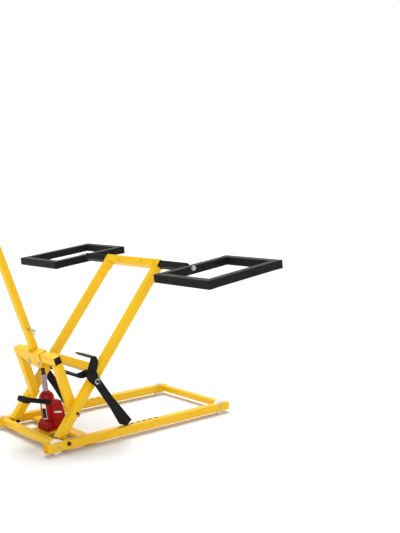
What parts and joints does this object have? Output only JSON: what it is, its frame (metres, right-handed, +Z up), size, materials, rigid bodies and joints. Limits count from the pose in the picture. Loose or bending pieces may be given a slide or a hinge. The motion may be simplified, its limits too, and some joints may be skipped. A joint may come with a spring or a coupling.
{
  "type": "lawn mower lift",
  "caption": "Jack-operated tipping lift for a ride-on mower: wheeled base frame, hinged lifting arms, sliding wheel trays, safety legs and a push handle.",
  "frame": {"origin": "middle of the bounding box's underside, on the floor under the rollers", "axes": "+Z up, +X along the rails from the jack end to the tray end, +Y from the rail nearest the camera to the other rail"},
  "size_m": [1.218, 1.5146, 1.1302],
  "materials": {
    "yellow_paint": "gloss powder coat",
    "black_paint": "satin powder coat",
    "red_paint": "gloss enamel",
    "zinc": "zinc plated",
    "dark_steel": "oiled dark",
    "ram_steel": "ground",
    "nylon": "moulded satin",
    "rubber": "moulded matt",
    "plastic": "moulded matt"
  },
  "bodies": {
    "base": {"near_rail": "yellow_paint", "far_rail": "yellow_paint", "front_cross_tube": "yellow_paint", "rear_cross_tube": "yellow_paint", "jack_cross_member": "yellow_paint", "jack_hinge_pin": "zinc", "near_front_axle_bolt": "zinc", "far_front_axle_bolt": "zinc", "near_rear_axle_bolt": "zinc", "far_rear_axle_bolt": "zinc", "near_arm_pivot_bolt": "dark_steel", "far_arm_pivot_bolt": "dark_steel"},
    "near_front_wheel": {"near_front_roller": "nylon"},
    "far_front_wheel": {"far_front_roller": "nylon"},
    "near_rear_wheel": {"near_rear_roller": "nylon"},
    "far_rear_wheel": {"far_rear_roller": "nylon"},
    "lifting_frame": {"near_arm": "yellow_paint", "far_arm": "yellow_paint", "top_cross_tube": "yellow_paint", "mid_cross_tube": "yellow_paint", "near_tower_post": "yellow_paint", "far_tower_post": "yellow_paint", "tower_cross_tube": "yellow_paint", "handle_saddle": "yellow_paint", "near_saddle_bolt": "zinc", "far_saddle_bolt": "zinc", "handle_spigot": "yellow_paint", "handle_tube": "yellow_paint", "handle_plug": "plastic", "ram_bracket": "yellow_paint", "near_stop_pad": "rubber", "far_stop_pad": "rubber", "near_lock_screw": "zinc", "far_lock_screw": "zinc", "near_leg_bolt": "zinc", "far_leg_bolt": "zinc"},
    "hitch_pin_body": {"hitch_pin": "zinc"},
    "clip_body": {"pin_clip": "zinc"},
    "near_tube_body": {"near_tray_tube": "black_paint", "near_tray_pin": "zinc"},
    "far_tube_body": {"far_tray_tube": "black_paint", "far_tray_pin": "zinc"},
    "near_tray_body": {"near_tray": "black_paint"},
    "far_tray_body": {"far_tray": "black_paint"},
    "near_leg_body": {"near_leg": "black_paint"},
    "far_leg_body": {"far_leg": "black_paint"},
    "release_body": {"release_hook": "black_paint", "far_link_plate": "black_paint", "link_bar": "black_paint"},
    "jack_body": {"jack_seat": "yellow_paint", "jack_base": "red_paint", "jack_tank": "red_paint", "jack_cap": "red_paint", "pump_block": "red_paint"},
    "pedal_body": {"pedal_lever": "black_paint", "pedal_sleeve": "rubber"},
    "ram_body": {"ram": "ram_steel", "ram_saddle": "dark_steel"},
    "valve_body": {"release_valve": "red_paint"}
  },
  "joints": [
    {"name": "lift", "type": "hinge", "parent": "base", "child": "lifting_frame", "pos_m": [-0.33608, 0, 0.0391], "axis": [0, -1, 0], "range_deg": [-44, 0]},
    {"name": "jack_tilt", "type": "hinge", "parent": "base", "child": "jack_body", "pos_m": [-0.22097, 0, 0.04], "axis": [0, -1, 0], "range_deg": [-49, 0]},
    {"name": "ram_stroke", "type": "slide", "parent": "jack_body", "child": "ram_body", "axis": [-0.1219, 0, 0.9925], "range_m": [-0.0895, 0]},
    {"name": "near_front_roll", "type": "hinge", "parent": "base", "child": "near_front_wheel", "pos_m": [-0.38698, -0.247, 0.032], "axis": [0, 1, 0], "continuous": true},
    {"name": "far_front_roll", "type": "hinge", "parent": "base", "child": "far_front_wheel", "pos_m": [-0.38698, 0.247, 0.032], "axis": [0, 1, 0], "continuous": true},
    {"name": "near_rear_roll", "type": "hinge", "parent": "base", "child": "near_rear_wheel", "pos_m": [0.55302, -0.247, 0.032], "axis": [0, 1, 0], "continuous": true},
    {"name": "far_rear_roll", "type": "hinge", "parent": "base", "child": "far_rear_wheel", "pos_m": [0.55302, 0.247, 0.032], "axis": [0, 1, 0], "continuous": true},
    {"name": "near_leg_swing", "type": "hinge", "parent": "lifting_frame", "child": "near_leg_body", "pos_m": [-0.17151, -0.238, 0.27738], "axis": [0, -1, 0], "range_deg": [0, 115]},
    {"name": "far_leg_swing", "type": "hinge", "parent": "lifting_frame", "child": "far_leg_body", "pos_m": [-0.17151, 0.238, 0.27738], "axis": [0, -1, 0], "range_deg": [0, 115]},
    {"name": "release_swing", "type": "hinge", "parent": "lifting_frame", "child": "release_body", "pos_m": [-0.17151, 0, 0.27738], "axis": [0, -1, 0], "range_deg": [0, 45]},
    {"name": "near_tube_slide", "type": "slide", "parent": "lifting_frame", "child": "near_tube_body", "axis": [0, -1, 0], "range_m": [-0.055, 0.1]},
    {"name": "far_tube_slide", "type": "slide", "parent": "lifting_frame", "child": "far_tube_body", "axis": [0, 1, 0], "range_m": [-0.055, 0.1]},
    {"name": "near_tray_tilt", "type": "hinge", "parent": "near_tube_body", "child": "near_tray_body", "pos_m": [0.21325, -0.424, 0.76716], "axis": [0, -1, 0], "range_deg": [-10, 44]},
    {"name": "far_tray_tilt", "type": "hinge", "parent": "far_tube_body", "child": "far_tray_body", "pos_m": [0.21325, 0.424, 0.76716], "axis": [0, -1, 0], "range_deg": [-10, 44]},
    {"name": "hitch_pin_out", "type": "slide", "parent": "lifting_frame", "child": "hitch_pin_body", "axis": [0, 1, 0], "range_m": [0, 0.1]},
    {"name": "clip_off", "type": "slide", "parent": "lifting_frame", "child": "clip_body", "axis": [0, -1, 0], "range_m": [0, 0.03]},
    {"name": "pedal_swing", "type": "hinge", "parent": "jack_body", "child": "pedal_body", "pos_m": [-0.30337, -0.05, 0.17033], "axis": [0, 1, 0], "range_deg": [-25, 15]},
    {"name": "valve_turn", "type": "hinge", "parent": "jack_body", "child": "valve_body", "pos_m": [-0.2921, -0.05, 0.04577], "axis": [0, 1, 0], "range_deg": [0, 180]}
  ],
  "couplings": [
    {"joint": "jack_tilt", "follows": "lift", "ratio": 1.1},
    {"joint": "ram_stroke", "follows": "lift", "m_per_rad": 0.11574},
    {"joint": "near_leg_swing", "follows": "lift", "ratio": -2.6},
    {"joint": "far_leg_swing", "follows": "lift", "ratio": -2.6}
  ]
}
